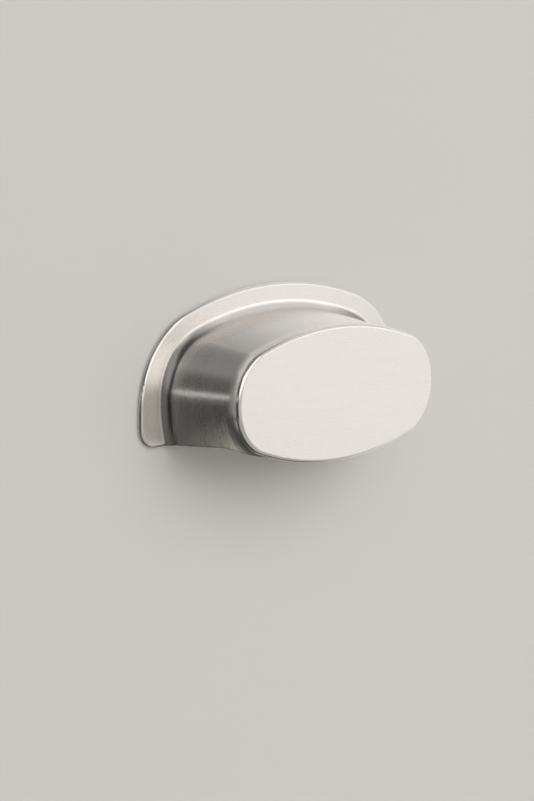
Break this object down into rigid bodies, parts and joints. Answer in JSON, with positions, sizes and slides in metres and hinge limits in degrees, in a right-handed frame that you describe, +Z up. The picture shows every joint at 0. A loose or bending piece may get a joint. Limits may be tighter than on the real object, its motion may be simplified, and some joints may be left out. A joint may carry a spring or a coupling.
{
  "type": "cabinet cup handle",
  "caption": "Hollow metal cup handle for a drawer or door: a thin flange, a tapered body with a flared oval front, and a finger space open below.",
  "frame": {"origin": "on the back face that lies on the door, midway between the two screw holes", "axes": "+X along the handle, +Z up, +Y into the door, so the handle stands out towards -Y"},
  "size_m": [0.1004, 0.0219, 0.0428],
  "materials": {
    "satin_nickel": "satin nickel plating, finely brushed"
  },
  "bodies": {
    "root": {"cup_handle": "satin_nickel"}
  },
  "joints": []
}
